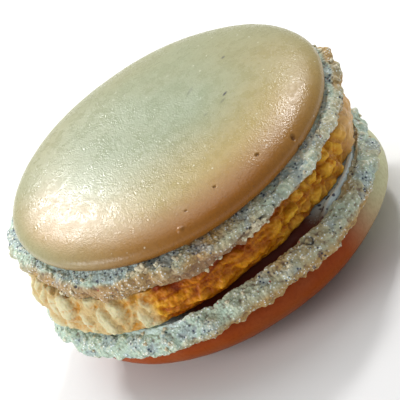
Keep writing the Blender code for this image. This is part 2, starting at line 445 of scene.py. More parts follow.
def foam(spot, textures, salt):
    """(height, crest, hole) of baked foam at a spot: its height in metres, and two shares from 0 to 1."""
    broad = ruffle(spot, textures.lump, salt)
    knobs = ruffle(spot, textures.lump * 0.45, salt + 3.0)
    bubbles = bubble_dome(spot, textures.bubble, salt)
    grains = bubble_dome(spot, textures.grain, salt + 5.0)
    clustered = smooth_step(ruffle(spot, 2.6 * MM, salt + 7.0), -0.1, 0.35)
    holes = open_bubble(spot, textures.bubble * 1.3, salt, 0.12) * clustered
    pores = open_bubble(spot, textures.bubble * 0.8, salt + 2.0, 0.30) * clustered
    height = 0.36 * broad + 0.34 * knobs + 0.20 * bubbles + 0.10 * grains - 0.30 * holes - 0.18 * pores
    crest = 0.45 * bubbles + 0.40 * grains + 0.50 * knobs + 0.20 * broad
    return height * MM, crest, max(holes, 0.8 * pores)


def named_hole(side, height, holes):
    """Depth, from 0 to 1, of the holes in a list of (azimuth in degrees, height, reach)."""
    depth = 0.0
    for centre, level, reach in holes:
        along = ((side - centre + 180.0) % 360.0 - 180.0) * radians(1) * HOLE_RADIUS
        depth = max(depth, fade(hypot(along, height - level), 0.3 * reach, reach))
    return depth


def upper_foot_outline():
    """(radius, height) of the upper foot above its flat face, from its hidden top to its hidden face."""
    band = [(20.6 * MM, 3.70 * MM), (21.1 * MM, 3.40 * MM), (22.2 * MM, 3.05 * MM)]
    roll = arc((22.95 * MM, 2.05 * MM), 1.15 * MM, 0.80 * MM, 100, -25)
    visible = band + roll + [(23.35 * MM, 0.70 * MM), (22.7 * MM, 0.20 * MM), (20.6 * MM, 0.12 * MM)]
    return [(0.0, 3.9 * MM)] + evenly(visible, FOOT_SPACING) + [(0.0, 0.0)]


def make_upper_foot(textures, finish):
    """The foamy foot of the upper shell, cracked and hollowed at the near side."""
    shape = turned(upper_foot_outline(), UPPER_FOOT_STEPS)
    place = lean()

    def move(spot, normal):
        radius, azimuth, side = polar(spot)
        shown = smooth_step(radius, *FOOT_SHOWN)
        low = fade(spot.z, 0.9 * MM, 2.1 * MM)
        high = smooth_step(spot.z, 2.6 * MM, 3.1 * MM)
        front = near(side, -92, 50)

        height, crest, hole = foam(spot, textures, 1.0)
        height *= 1.0 - 0.55 * high
        level = 1.75 * MM + 0.05 * MM * (side + 86) + 0.20 * MM * noise.noise(spot / (0.8 * MM))
        # The crack and the holes are cut in, and also painted dark as shade
        crack = min(1.0, 2.0 * near(side, -84, 10)) * bell(spot.z - level, 0.20 * MM)
        hollow = near(side, -98, 13) * bell(spot.z - 1.7 * MM, 0.85 * MM)
        pits = named_hole(side, spot.z, UPPER_FOOT_HOLES)
        height -= 1.0 * MM * crack
        height -= 0.55 * MM * hollow
        height -= 0.45 * MM * pits

        frill = FRILL_SIZE * ruffle(spot, FRILL_SCALE, 1.0)
        ruffled = waves(azimuth, UPPER_RIM_WAVES) + frill
        spread = FOOT_SHIFT + outward(azimuth) * ruffled * (1.0 - 0.5 * high)
        spread -= outward(azimuth) * MM * (0.75 * near(side, -165, 42) + 0.9 * near(side, 20, 30))
        drop = waves(azimuth, UPPER_DROOP_WAVES) + 0.45 * MM * low * ruffle(spot, 1.7 * MM, 6.0)
        drop -= 0.65 * MM * low * near(side, -68, 45) - 0.8 * MM * low * near(side, -160, 45)
        moved = spot + shown * (spread + normal * height)
        moved.z -= shown * drop

        ragged = low * smooth_step(noise.noise(spot / (1.3 * MM)) + 0.7 * low - 0.2, 0.0, 0.6)
        under = fade(spot.z, 1.5 * MM, 2.85 * MM)
        lower_left = near(side, -138, 66) * fade(spot.z, 2.3 * MM, 3.0 * MM)
        far_right = near(side, -5, 62) * smooth_step(radius, 23.0 * MM, 23.7 * MM)
        # Painted shade: the foam is painted tan on the near side and low down, less so up near the cap, with
        # tan patches at the lower left and far right
        warm = 0.6 * low + 0.55 * front + 1.1 * lower_left + 0.8 * far_right - 0.5 * high * (1 - front)
        # Painted shade: the ragged lower edge, the near underside and the hollow are painted brown
        scorch = max(ragged * (0.2 + 0.8 * front), 0.90 * front * under, 0.9 * hollow, 0.45 * lower_left)
        # Painted light: the crests on the front right are painted paler
        crest += 0.45 * near(side, -42, 34) * (1 - low)
        return place @ moved, crest, max(hole, crack, pits), warm, scorch, high * (1 - 0.5 * front)

    sculpt(shape, ("crest", "hole", "warm", "scorch", "band"), move)
    add_piece("upper_foot", shape, finish, "top_shell")


def lower_foot_outline():
    """(radius, height) of the lower foot, from the middle of its flat face round to its hidden underside."""
    face = LOWER_FACE
    rim = [
        (18.4 * MM, face),
        (19.8 * MM, face),
        (20.1 * MM, face + 0.36 * MM),
        (20.6 * MM, face + 0.36 * MM),
        (20.85 * MM, face - 0.25 * MM),
        (21.15 * MM, face - 0.45 * MM),
        (21.5 * MM, face - 0.05 * MM),
    ]
    roll = arc((22.4 * MM, face - 1.65 * MM), 2.1 * MM, 1.6 * MM, 100, -72)
    under = [(22.4 * MM, face - 3.3 * MM), (21.9 * MM, face - 3.4 * MM), (20.6 * MM, face - 3.7 * MM)]
    return [(0.0, face)] + evenly(rim + roll + under, FOOT_SPACING) + [(0.0, face - 3.8 * MM)]


def lower_slim(side):
    """How much narrower the lower foot is, and how much wider the lower cap, by azimuth in degrees."""
    return 1.10 * MM * near(side, 4, 52)


def lower_sag(side):
    """How far the lower foot and the buttercream on it sag, by azimuth in degrees."""
    return 0.75 * MM * near(side, -137, 45)


def make_lower_foot(textures, finish):
    """The foamy foot of the lower shell, with the ledge, ridge and trench of its flat face."""
    shape = turned(lower_foot_outline(), LOWER_FOOT_STEPS)

    def move(spot, normal):
        radius, azimuth, side = polar(spot)
        shown = smooth_step(radius, *FOOT_SHOWN)
        foamy = smooth_step(radius, 21.1 * MM, 21.7 * MM)
        flat = fade(radius, 21.0 * MM, RIDGE_REACH)
        top = smooth_step(spot.z, LOWER_FACE - 0.9 * MM, LOWER_FACE - 0.2 * MM)
        under_edge = fade(spot.z, LOWER_FACE - 3.6 * MM, LOWER_FACE - 2.9 * MM)
        grooved = between(side, *GROOVE)
        trench = between(side, *TRENCH)
        left = smooth_step(-side, 108, 126) if side < 0 else smooth_step(side, 150, 175)
        ledge = left * fade(radius, 22.4 * MM, 23.3 * MM) * top

        height, crest, hole = foam(spot, textures, 4.0)
        frill = FRILL_SIZE * ruffle(spot, FRILL_SCALE, 4.0)
        spread = FOOT_SHIFT + outward(azimuth) * (waves(azimuth, LOWER_RIM_WAVES) + frill * foamy)
        spread -= outward(azimuth) * lower_slim(side) * smooth_step(radius, 21.8 * MM, 23.6 * MM)
        inner = top * between(radius, 18.4 * MM, 20.2 * MM, RIDGE_REACH, 23.8 * MM)
        pushed = inner * MM * (1.1 * between(side, *FRONT_PUSH) + near(side, -45, 50))
        roundness = smooth_step(radius, 21.5 * MM, 23.0 * MM)
        sag = lower_sag(side) * smooth_step(radius, *SAG_REACH)
        drop = roundness * waves(azimuth, LOWER_DROOP_WAVES) + sag
        drop += 0.35 * MM * near(side, -85, 50) * roundness

        # The ridge stands only where the rim is grooved, and the face sinks along the trench.
        if radius < RIDGE_REACH and top > 0:
            ridge = (spot.z - LOWER_FACE) * (1.0 - grooved) * flat
            sunk = 1.3 * MM * trench * flat * smooth_step(radius, 18.4 * MM, 19.8 * MM)
            spot.z -= ridge + sunk

        low = fade(spot.z, LOWER_FACE - 2.9 * MM, LOWER_FACE - 1.2 * MM)
        crater = named_hole(side, spot.z - LOWER_FACE, LOWER_FOOT_HOLES)
        across = (side - BEAD_SIDE) * radians(1) * BEAD_RADIUS
        from_bead = hypot(across, (radius - BEAD_RADIUS) * 0.9)
        bead = fade(from_bead, 0.1 * MM, 0.5 * MM) * top
        ring = bell(from_bead - 0.62 * MM, 0.17 * MM)
        ring *= smooth_step(spot.z, LOWER_FACE - 1.6 * MM, LOWER_FACE - 1.0 * MM)
        height -= 0.45 * MM * crater
        height += 0.30 * MM * bead - 0.40 * MM * ring
        smooth = 0.05 * MM * ruffle(spot, 0.6 * MM, 2.0)
        relief = foamy * (1.0 - 0.8 * ledge)
        moved = spot + outward(azimuth) * pushed + shown * spread
        moved += normal * (relief * height + (1 - relief) * smooth)
        moved.z -= drop * (1.0 - under_edge)
        moved.z += 0.8 * lower_slim(side) * low * (1.0 - under_edge)

        # Painted shade: the groove, the ring round the bead, the craters and the open bubbles are painted dark,
        # with a few dark spots on the smooth face
        groove = grooved * bell(radius - 21.05 * MM, 0.24 * MM) * top
        dots = smooth_step(bubble_dome(spot, 0.5 * MM, 8.0), 0.15, 0.7)
        spots = smooth_step(bubble_dome(spot, 0.75 * MM, 5.0), 0.72, 0.95) * (1 - foamy) * near(side, -50, 22)
        dark = max(hole * relief, crater, 0.7 * ring, groove * (0.35 + 0.65 * dots), spots)
        # The smooth face is painted paler, with a painted sheen on the ledge
        pale = max(0.45 * ledge, (1.0 - foamy) * (1.0 - trench))
        # Painted shade: the foam is painted tan on the near side, low down and on the inner right, and cooler
        # on the lit left
        front = near(side, -80, 72)
        inner_right = near(side, -20, 50) * fade(radius, 22.2 * MM, 23.3 * MM)
        warm = low * (0.35 + 0.85 * front) + 0.60 * front + 0.7 * inner_right - 0.6 * left
        # Painted shadow: the trench under the buttercream's edge is painted near black
        return moved, crest * relief + 0.45 * (1 - relief), dark, warm, pale, trench * flat * top

    sculpt(shape, ("crest", "hole", "warm", "ledge", "gap"), move)
    add_piece("lower_foot", shape, finish, "bottom_shell")


# Caps


def cap_outline(radius, rise, edge, tuck, flat_radius=0.0):
    """(radius, height) of a cap whose widest ring is at height 0, from its crown to its hidden disc."""
    crown = dome(radius, rise, flat_radius)
    curl = arc((radius - edge, 0.0), edge, tuck, 0, -90)
    line = evenly(crown + curl[1:] + [(radius - edge - 1.0 * MM, -tuck)], CAP_SPACING)
    start = [(0.0, rise)] if flat_radius else []
    return start + line + [(0.0, -tuck)]


def mark(spot, place, length, width, turn):
    """1 in the middle of an oval mark on the crust, falling to 0 at its edge."""
    away = (spot - place).xy
    along = away.x * cos(turn) + away.y * sin(turn)
    across = away.y * cos(turn) - away.x * sin(turn)
    return fade(hypot(along / length, across / width), 0.25, 1.0)


def make_upper_cap(sizes, finish):
    """The smooth cap of the upper shell, with its pits and specks."""
    outline = cap_outline(sizes.upper_radius, sizes.upper_rise, sizes.edge, sizes.edge)
    shape = turned(outline, CAP_STEPS)
    bmesh.ops.translate(shape, vec=(0, 0, UPPER_RING), verts=shape.verts)
    marks = CRUST_PITS + CRUST_SPECKS
    places = [outward(radians(side)) * radius for side, radius, *_ in marks]
    spots = [place + Vector((0, 0, vertical(sizes, place.length))) for place in places]
    refine(shape, spots, 1.3 * MM, 3)
    turn = lean()

    def move(spot, normal):
        radius, azimuth, side = polar(spot)
        height = 0.10 * MM * ruffle(spot, 9.0 * MM, 2.0) + 0.012 * MM * ruffle(spot, 2.2 * MM, 5.0)
        pit = 0.0
        for place, (_, _, length, width, depth, angle) in zip(places, CRUST_PITS):
            share = mark(spot, place, length, width, radians(angle))
            height -= depth * share
            if depth > 0:
                pit = max(pit, share)
        speck = 0.0
        for place, (_, _, length, width, strength, angle) in zip(places[len(CRUST_PITS):], CRUST_SPECKS):
            speck = max(speck, strength * mark(spot, place, length, width, radians(angle)))
        if spot.z < UPPER_RING - sizes.edge * 0.9:
            height *= 0.3
            pit = speck = 0.0
        swell = smooth_step(radius, 17 * MM, 22 * MM) * near(side, -100, 60) * 0.35 * MM
        moved = spot + normal * height + outward(azimuth) * swell
        # Painted shade: gold is the crust's own tone towards the rim but heavier on the near side; brown is
        # partly the browned rim and partly painted shade, on the near side only; under is painted shade below
        # the rim's curl
        gold = smooth_step(radius, 4 * MM, 20 * MM) * (0.25 + 0.75 * near(side, -65, 115))
        brown = smooth_step(radius, 15.5 * MM, 22.2 * MM) * near(side, -85, 85) ** 0.7
        under = fade(spot.z, UPPER_RING - sizes.edge, UPPER_RING + 0.4 * MM)
        under *= smooth_step(radius, 19 * MM, 21 * MM)
        # Painted highlight colour: peach tints the crust where the left window's highlight falls
        peach = near(side, -155, 50) * between(radius, 12 * MM, 17 * MM, 20 * MM, 22.4 * MM)
        return turn @ moved, gold, brown, under, pit, speck, peach

    sculpt(shape, ("gold", "brown", "under", "pit", "speck", "peach"), move)
    add_piece("upper_cap", shape, finish, "top_shell")


def vertical(sizes, radius):
    """Height of the upper cap's surface above the shell's flat face, at a distance from its axis."""
    angle = acos(min(1.0, (radius / sizes.upper_radius) ** (1 / DOME_FULLNESS)))
    return UPPER_RING + sizes.upper_rise * sin(angle)


def make_lower_cap(sizes, finish):
    """The smooth cap of the lower shell, crown down, with the flat that it stands on."""
    outline = cap_outline(sizes.lower_radius, sizes.lower_depth, sizes.edge, LOWER_TUCK, sizes.rest_radius)
    shape = turned(outline, CAP_STEPS)
    bmesh.ops.rotate(shape, cent=(0, 0, 0), matrix=Matrix.Rotation(pi, 3, "X"), verts=shape.verts)
    bmesh.ops.translate(shape, vec=(0, 0, sizes.lower_depth), verts=shape.verts)

    def move(spot, normal):
        radius, azimuth, side = polar(spot)
        lifted = smooth_step(spot.z, 0.0, 1.2 * MM)
        swell = 0.75 * lower_slim(side) * smooth_step(radius, 18 * MM, 22.5 * MM)
        swell *= smooth_step(spot.z, 1.5 * MM, 5 * MM)
        height = 0.10 * MM * ruffle(spot, 8.0 * MM, 3.0) + 0.03 * MM * ruffle(spot, 2.0 * MM, 7.0)
        moved = spot + normal * height * lifted + outward(azimuth) * swell
        # Painted shade: where top is low, near the bottom, the crust is painted darker; pale marks the side
        # painted lighter, facing the lamps
        top = smooth_step(spot.z, 3.0 * MM, 7.0 * MM) * smooth_step(radius, 15 * MM, 20 * MM)
        pale = between(side, *LIT_PALE_BASE)
        return moved, top, pale

    sculpt(shape, ("top", "pale"), move)
    add_piece("lower_cap", shape, finish, "bottom_shell")


# Buttercream


def cream_radius(sizes, azimuth):
    """How far the buttercream reaches from the axis."""
    return sizes.cream_radius + waves(azimuth, CREAM_WAVES)


def cleft_pattern(spot, across, tall, salt):
    """(cleft, dome) from 0 to 1 of lumps of a given width and height."""
    cell = Vector((spot.x / across + salt, spot.y / across - salt, spot.z / tall + salt))
    distances, _ = noise.voronoi(cell)
    return fade(distances[1] - distances[0], 0.0, 0.42), max(0.0, 1.0 - distances[0] ** 2 * 1.3)


def make_buttercream(sizes, textures, finish):
    """The buttercream: cleft columns at the left, crags at the right and thin layers between."""
    height = sizes.cream_height
    belly = [
        (sizes.cream_radius - 0.75 * MM * abs(2 * step / 40 - 1.05) ** 2.4, height * (1 - step / 40))
        for step in range(41)
    ]
    visible = [(19.0 * MM, height)] + belly + [(18.0 * MM, 0.0)]
    shape = turned([(0.0, height)] + evenly(visible, CREAM_SPACING) + [(0.0, 0.0)], CREAM_STEPS)
    turn = lean() @ Matrix.Translation((0, 0, -UPPER_FACE))
    base = LOWER_FACE + CREAM_GAP

    def move(spot, normal):
        radius, azimuth, side = polar(spot)
        edge = smooth_step(radius, sizes.cream_radius * 0.80, sizes.cream_radius * 0.95)
        coarse = spot / (2.0 * MM)
        bend = Vector((noise.noise(coarse), noise.noise(coarse + Vector((9, 9, 9))), 0))
        bent = spot + bend * 0.5 * MM
        columns = cleft_pattern(bent, 2.4 * MM, 9.0 * MM, 1.7)
        layers = cleft_pattern(bent, 5.0 * MM, 1.5 * MM, 4.2)
        crags = cleft_pattern(bent, 2.6 * MM, 2.0 * MM, 8.1)
        left = smooth_step(-side, 112, 128) if side < 0 else 1.0
        right = smooth_step(side, -82, -66) if side < 0 else 0.5
        middle = max(0.0, 1.0 - left - right)
        total = left + right + middle
        cleft = (left * columns[0] + right * crags[0] + middle * layers[0] * 0.8) / total
        lobe = (left * columns[1] + right * crags[1] + middle * layers[1]) / total
        relief = (0.40 - 0.15 * middle - 0.22 * right) * MM * lobe
        relief -= textures.cleft * (1.0 - 0.45 * middle) * cleft
        knobs = ruffle(spot, 0.95 * MM, 3.0)
        grains = bubble_dome(spot, 0.50 * MM, 6.0)
        relief += (0.26 + 0.10 * middle + 0.30 * right) * MM * knobs
        relief += 0.14 * MM * ruffle(spot, 0.55 * MM, 4.0)
        relief += (0.10 + 0.10 * middle - 0.08 * right) * MM * grains
        smooth = between(side, *SMOOTH_CREAM)
        rolled = smooth_step(spot.z, 0.1 * MM, 1.1 * MM)
        relief *= (1.0 - 0.65 * smooth) * (0.35 + 0.65 * rolled)
        relief += 0.8 * MM * smooth * rolled + 0.2 * MM * near(side, -38, 30)
        spread = cream_radius(sizes, azimuth) - sizes.cream_radius + 0.6 * MM * ruffle(spot, 2.9 * MM, 9.0)
        moved = spot + edge * (outward(azimuth) * spread + normal * relief)
        share = min(max(moved.z / height, 0.0), 1.0)
        tucked = 0.35 * MM * near(side, -15, 45) * edge * fade(share, 0.0, 0.3)
        moved -= outward(azimuth) * tucked
        low = Vector((moved.x, moved.y, base - lower_sag(side) * smooth_step(radius, *SAG_REACH)))
        high = turn @ Vector((moved.x, moved.y, base + height))
        # Painted light: the left, and less so the right, of the buttercream are painted paler
        pale = max(left, 0.55 * right)
        crest = 0.45 * lobe + 0.50 * knobs + 0.20 * grains
        shaded = smooth_step(share, 0.58, 0.96) * near(side, -92, 55)
        return low.lerp(high, share), cleft, crest, pale, shaded, smooth

    sculpt(shape, ("cleft", "crest", "pale", "shaded", "smooth"), move)
    add_piece("buttercream", shape, finish, "filling")


# Crumbs


def add_crumb(shape, place, size, salt):
    """Adds one knobbly crumb to a bmesh."""
    ball = bmesh.ops.create_icosphere(shape, subdivisions=3, radius=size, matrix=Matrix.Translation(place))
    for vertex in ball["verts"]:
        away = vertex.co - place
        lumpy = 1.0 + 0.75 * ruffle(away, size * 0.8, salt) + 0.35 * ruffle(away, size * 0.35, salt)
        vertex.co = place + away * lumpy


def make_crumbs(textures, finish):
    """Loose crumbs on the feet, and the lumps torn from the upper foot."""
    shape = bmesh.new()
    draw = Random(11)
    spots = []
    for name in ("upper_foot", "lower_foot"):
        mesh = bpy.data.objects[name].data
        shown = [v for v in mesh.vertices if v.co.xy.length > 22.9 * MM]
        for vertex in draw.sample(shown, textures.crumb_count // 2):
            spots.append((vertex.co + vertex.normal * 0.05 * MM, draw.uniform(0.12, 0.30) * MM))
    place = lean()
    for side, radius, height, size in CHUNKS:
        spots.append((place @ (outward(radians(side)) * radius + Vector((0, 0, height))), size))
    for count, (spot, size) in enumerate(spots):
        add_crumb(shape, spot, size, 3.7 * count)
    bmesh.ops.recalc_face_normals(shape, faces=shape.faces)
    add_piece("crumbs", shape, finish, None)


# Materials


class Wire:
    """An output of a node, used in Python expressions: each operator adds its Math node."""

    def __init__(self, board, socket):
        self.board = board
        self.socket = socket

    def __add__(self, other):
        return self.board.math("ADD", self, other)

    __radd__ = __add__

    def __mul__(self, other):
        return self.board.math("MULTIPLY", self, other)

    __rmul__ = __mul__

    def __sub__(self, other):
        return self.board.math("SUBTRACT", self, other)

    def __rsub__(self, other):
        return self.board.math("SUBTRACT", other, self)

    def clamped(self):
        """The value, kept from 0 to 1."""
        return self.board.math("ADD", self, 0.0, clamp=True)

    def step(self, low, high):
        """0 below low and 1 above high, with a smooth change between."""
        return self.board.node(
            "ShaderNodeMapRange",
            {"interpolation_type": "SMOOTHSTEP"},
            {"Value": self, "From Min": low, "From Max": high, "To Min": 0.0, "To Max": 1.0},
        )


class Board:
    """A material's nodes, added by a few short calls."""

    def __init__(self, name):
        self.material = bpy.data.materials.new(name)
        self.material.use_nodes = True
        self.tree = self.material.node_tree
        self.shader = self.tree.nodes["Principled BSDF"]
        self.place = self.node("ShaderNodeTexCoord", {}, {}, "Object")

    def node(self, kind, settings, sockets, output=0):
        """Adds a node, sets it up, fills or links its sockets, and returns one of its outputs."""
        added = self.tree.nodes.new(kind)
        for key, value in settings.items():
            setattr(added, key, value)
        for key, value in sockets.items():
            self.fill(added.inputs[key], value)
        return Wire(self, added.outputs[output])

    def fill(self, socket, value):
        """Links a wire to a socket, or sets the socket to a value."""
        if isinstance(value, Wire):
            self.tree.links.new(value.socket, socket)
        else:
            socket.default_value = value

    def math(self, operation, first, second, clamp=False):
        """Joins two numbers or wires by a Math node."""
        settings = {"operation": operation, "use_clamp": clamp}
        return self.node("ShaderNodeMath", settings, {0: first, 1: second})

    def kept(self, name):
        """A value that the mesh keeps at each vertex."""
        return self.node("ShaderNodeAttribute", {"attribute_name": name}, {}, "Fac")

    def moved(self, shift, stretch=(1, 1, 1)):
        """The place on the surface, shifted and stretched, so that patterns differ."""
        return self.node("ShaderNodeMapping", {}, {"Vector": self.place, "Location": shift, "Scale": stretch})

    def noise(self, size, detail=2.0, stretch=(1, 1, 1), salt=0.0, roughness=0.5):
        """Soft noise whose lumps are about one size wide."""
        place = self.moved((salt, -salt, 2 * salt), stretch)
        sockets = {"Vector": place, "Scale": 0.5 / size, "Detail": detail, "Roughness": roughness}
        return self.node("ShaderNodeTexNoise", {}, sockets, "Fac")

    def cells(self, size, salt):
        """Distance from the nearest of many scattered points, as a share of the size they are apart."""
        sockets = {"Vector": self.moved((salt, salt, -salt)), "Scale": 1 / size}
        return self.node("ShaderNodeTexVoronoi", {"feature": "F1"}, sockets, "Distance")

    def dots(self, size, reach, salt=0.0):
        """1 in the middle of round dots about one size apart, 0 past a reach that is a share of the size."""
        return 1 - self.cells(size, salt).step(reach * 0.4, reach)

    def beads(self, size, salt=0.0):
        """Height, from 0 to 1, of round beads packed about one size apart."""
        away = self.cells(size, salt)
        return (1 - 1.4 * away * away).clamped()

    def mix(self, factor, first, second, blend="MIX"):
        """A colour between two colours, which are numbers or wires."""
        first, second = (c if isinstance(c, Wire) else (*c, 1.0) for c in (first, second))
        settings = {"data_type": "RGBA", "blend_type": blend}
        return self.node("ShaderNodeMix", settings, {0: factor, 6: first, 7: second}, 2)

    def bump(self, height, distance):
        """A normal bent by fine relief whose height 1 stands one distance tall."""
        sockets = {"Height": height, "Distance": distance, "Strength": 1.0}
        return self.node("ShaderNodeBump", {}, sockets, "Normal")

    def finish(self, **sockets):
        """Fills the shader's sockets, named with underscores for spaces, and returns the material."""
        for key, value in sockets.items():
            self.fill(self.shader.inputs[key.replace("_", " ")], value)
        return self.material


def upper_crust(colours, textures):
    """Satin crust: pale in the middle, golden and browned towards the rim, more so on the near side as painted
    shade, with painted shade under the rim's curl and in the pits, a peach tint painted under the left
    highlight, fine grain, pores and a few specks.
    """
    board = Board("upper crust")
    gold, brown, under = board.kept("gold"), board.kept("brown"), board.kept("under")
    cloudy = board.noise(7 * MM, 3.0, salt=3.0) - 0.5
    fine = board.noise(textures.crust_grain, 3.0, salt=7.0)
    # Gold, brown and the darker curl under the rim are partly painted shade
    base = board.mix((gold + 0.35 * cloudy).clamped(), colours.crust_pale, colours.crust_gold)
    base = board.mix((brown + 0.2 * cloudy).clamped(), base, colours.crust_browned_and_shaded)
    base = board.mix(under * 0.6, base, colours.crust_browned_and_shaded)
    # Painted highlight colour: the peach tint under the left highlight
    base = board.mix(board.kept("peach") * (0.34 + 0.5 * cloudy), base, colours.crust_highlight_peach)
    base = board.mix(fine.step(0.40, 0.70) * 0.5, base, colours.grain_tint, "MULTIPLY")
    base = board.mix(board.dots(1.9 * MM, 0.09, 4.0) * 0.5, base, colours.light_dot)
    base = board.mix(board.dots(2.3 * MM, 0.06, 9.0) * 0.35, base, colours.dark_dot)
    # Painted shade inside the pits
    base = board.mix(board.kept("pit").step(0.3, 1.0) * 0.55, base, colours.crust_pit)
    base = board.mix(board.kept("speck").clamped(), base, colours.crust_speck)
    sparkle = board.noise(0.10 * MM, 1.0, salt=2.0)
    patchy = board.noise(1.2 * MM, 5.0, (1.3, 1.0, 1.0), salt=8.0, roughness=0.7)
    rough = 0.14 + 0.16 * fine + 0.16 * patchy.step(0.38, 0.62)
    normal = board.bump(0.8 * fine + 1.3 * sparkle, 0.030 * MM)
    return board.finish(Base_Color=base, Roughness=rough, Normal=normal, Specular_IOR_Level=0.36)


def baked_foam(colours, name):
    """Dry foam: cool flanks where lit and tan where shaded as painted light and shade, paler crests as painted
    light, painted shade between the bubbles, in the open ones and under the upper foot, a painted sheen on the
    ledge, painted shadow in the trench and painted glints.
    """
    board = Board(name)
    crest, hole, warm = board.kept("crest"), board.kept("hole"), board.kept("warm")
    patchy = board.noise(2.4 * MM, 3.0, salt=2.0)
    clustered = board.noise(1.3 * MM, 2.0, salt=4.0)
    fine = board.noise(0.20 * MM, 2.0, salt=6.0)
    beads = board.beads(0.40 * MM, 1.0)
    band, scorch = board.kept("band"), board.kept("scorch")
    bare = (1 - board.kept("gap")) * (1 - board.kept("ledge"))
    height = crest + 0.40 * (beads - 0.5) + 0.25 * (fine - 0.5)
    # Painted light and shade: cool where lit and tan where shaded, mixed with the foam's own patchy tone
    base = board.mix((warm + 2.2 * (patchy - 0.5)).clamped(), colours.foam_cool_lit, colours.foam_tan_and_shade)
    # Painted shade between the bubbles
    base = board.mix((1 - height.step(-0.1, 0.4)) * 0.75, base, colours.foam_brown)
    shade = (clustered - 0.20 * warm.clamped() + 0.12 * band).step(0.46, 0.60) * bare
    base = board.mix(shade * 0.6, base, colours.foam_blue)
    # Painted light on the tops of the bubbles
    base = board.mix(height.step(0.55, 1.05) * (0.6 - 0.35 * warm.clamped()), base, colours.foam_crest)
    # Painted shade under the upper foot
    base = board.mix(scorch * 0.75, base, colours.foam_underside_shade)
    # Painted sheen on the smooth ledge
    base = board.mix(board.kept("ledge") * 0.85, base, colours.foam_ledge_sheen)
    # Painted shade: open bubbles and the pricks are painted near black
    pricked = (clustered + 0.16 * band - 0.1 * scorch).step(0.50, 0.60)
    pricks = board.dots(0.60 * MM, 0.36, 5.0) * pricked * bare
    base = board.mix((hole.step(0.25, 0.8) + pricks).clamped() * 0.9, base, colours.foam_pit)
    # Painted shadow in the trench
    base = board.mix(board.kept("gap"), base, colours.gap)
    base = board.mix(board.dots(2.6 * MM, 0.07, 3.0) * 0.8, base, colours.foam_dot)
    # Painted highlights: pale glints on the tips of the bubbles, which are also made smoother
    glints = board.dots(0.40 * MM, 0.34, 1.0) * (height + clustered).step(0.85, 1.20) * bare
    base = board.mix(glints * (0.9 - 0.5 * scorch), base, colours.foam_painted_glint)
    rough = (0.56 - 0.32 * glints + 0.2 * (fine - 0.5)).clamped()
    normal = board.bump((beads + 0.4 * fine) * (0.1 + 0.9 * bare), 0.12 * MM)
    return board.finish(
        Base_Color=base,
        Roughness=rough,
        Normal=normal,
        Specular_IOR_Level=0.40,
        Subsurface_Weight=0.15,
        Subsurface_Radius=(1.0, 0.7, 0.5),
        Subsurface_Scale=1.2 * MM,
    )


def buttercream(colours):
    """Buttercream: pale crests and a pale left side as painted light over gold, painted shade in the clefts,
    low places and on the shaded near side, and an uneven soft gloss.
    """
    board = Board("buttercream")
    cleft, crest, pale, shaded = (board.kept(name) for name in ("cleft", "crest", "pale", "shaded"))
    cloudy = board.noise(1.4 * MM, 3.0, salt=4.0)
    fine = board.noise(0.26 * MM, 3.0, salt=8.0)
    beads = board.beads(0.40 * MM, 2.0)
    height = crest + 0.30 * (beads - 0.5) + 0.5 * (fine - 0.5)
    # Painted light on the crests and the pale sides, held back where shaded
    lit = (height + 0.45 * pale + (cloudy - 0.5) * 0.6 - 0.5 * shaded).step(0.10, 0.80)
    crests = board.mix(pale.step(0.5, 0.85), colours.cream_tan, colours.cream_lit_pale)
    base = board.mix(lit * (0.22 + 0.78 * pale), colours.cream_gold, crests)
    # Painted shade in low places, in the clefts and on the shaded near side
    pitted = (1 - (height + cloudy).step(0.3, 0.8)) * (0.45 - 0.3 * pale)
    painted_shade = cleft.step(0.15, 0.9) * 0.6 * (1 - 0.2 * pale) + pitted + 1.1 * shaded
    clefts = board.mix(pale.step(0.4, 0.9), colours.cream_amber_shade, colours.cream_honey_shade)
    base = board.mix(painted_shade.clamped(), base, clefts)
    base = board.mix(board.kept("smooth") * 0.85, base, colours.cream_peach)
    rough = 0.30 + 0.28 * cloudy - 0.10 * cleft
    normal = board.bump(0.6 * beads + fine, 0.10 * MM)
    return board.finish(
        Base_Color=base,
        Roughness=rough,
        Normal=normal,
        Specular_IOR_Level=0.20,
        Subsurface_Weight=0.15,
        Subsurface_Radius=(1.0, 0.5, 0.2),
        Subsurface_Scale=2.0 * MM,
    )


def crumb_finish(colours):
    """Pale baked crumb with tan and brown patches."""
    board = Board("crumb")
    patchy = board.noise(0.8 * MM, 2.0, salt=1.0)
    fine = board.noise(0.16 * MM, 2.0, salt=2.0)
    base = board.mix(patchy.step(0.40, 0.75) * 0.6, colours.foam_crest, colours.foam_tan_and_shade)
    base = board.mix((1 - fine.step(0.3, 0.6)) * 0.5, base, colours.foam_brown)
    normal = board.bump(fine, 0.10 * MM)
    return board.finish(Base_Color=base, Roughness=0.55, Normal=normal, Specular_IOR_Level=0.4)


def lower_crust(colours, textures):
    """Lower crust, painted browner on its shaded near side and towards the bottom and paler olive on the side
    that faces the lamps, with a fine grain.
    """
    board = Board("lower crust")
    top, pale = board.kept("top"), board.kept("pale")
    cloudy = board.noise(6 * MM, 3.0, salt=3.0)
    fine = board.noise(textures.crust_grain, 3.0, salt=7.0)
    # Painted shade and light: brown on the shaded near side, olive on the lit side, and darker towards the
    # bottom
    base = board.mix((pale + 0.3 * (cloudy - 0.5)).clamped(), colours.base_shaded_brown, colours.base_lit_olive)
    base = board.mix((1 - top) * 0.30, base, colours.crust_browned_and_shaded)
    base = board.mix(fine.step(0.40, 0.70) * 0.5, base, colours.base_grain_tint, "MULTIPLY")
    rough = 0.42 + 0.16 * fine
    normal = board.bump(fine, 0.05 * MM)
    return board.finish(Base_Color=base, Roughness=rough, Normal=normal, Specular_IOR_Level=0.15)


def studio_floor(colours):
    """The plain floor."""
    board = Board("studio floor")
    return board.finish(Base_Color=(*colours.floor, 1.0), Roughness=0.8)


# Studio


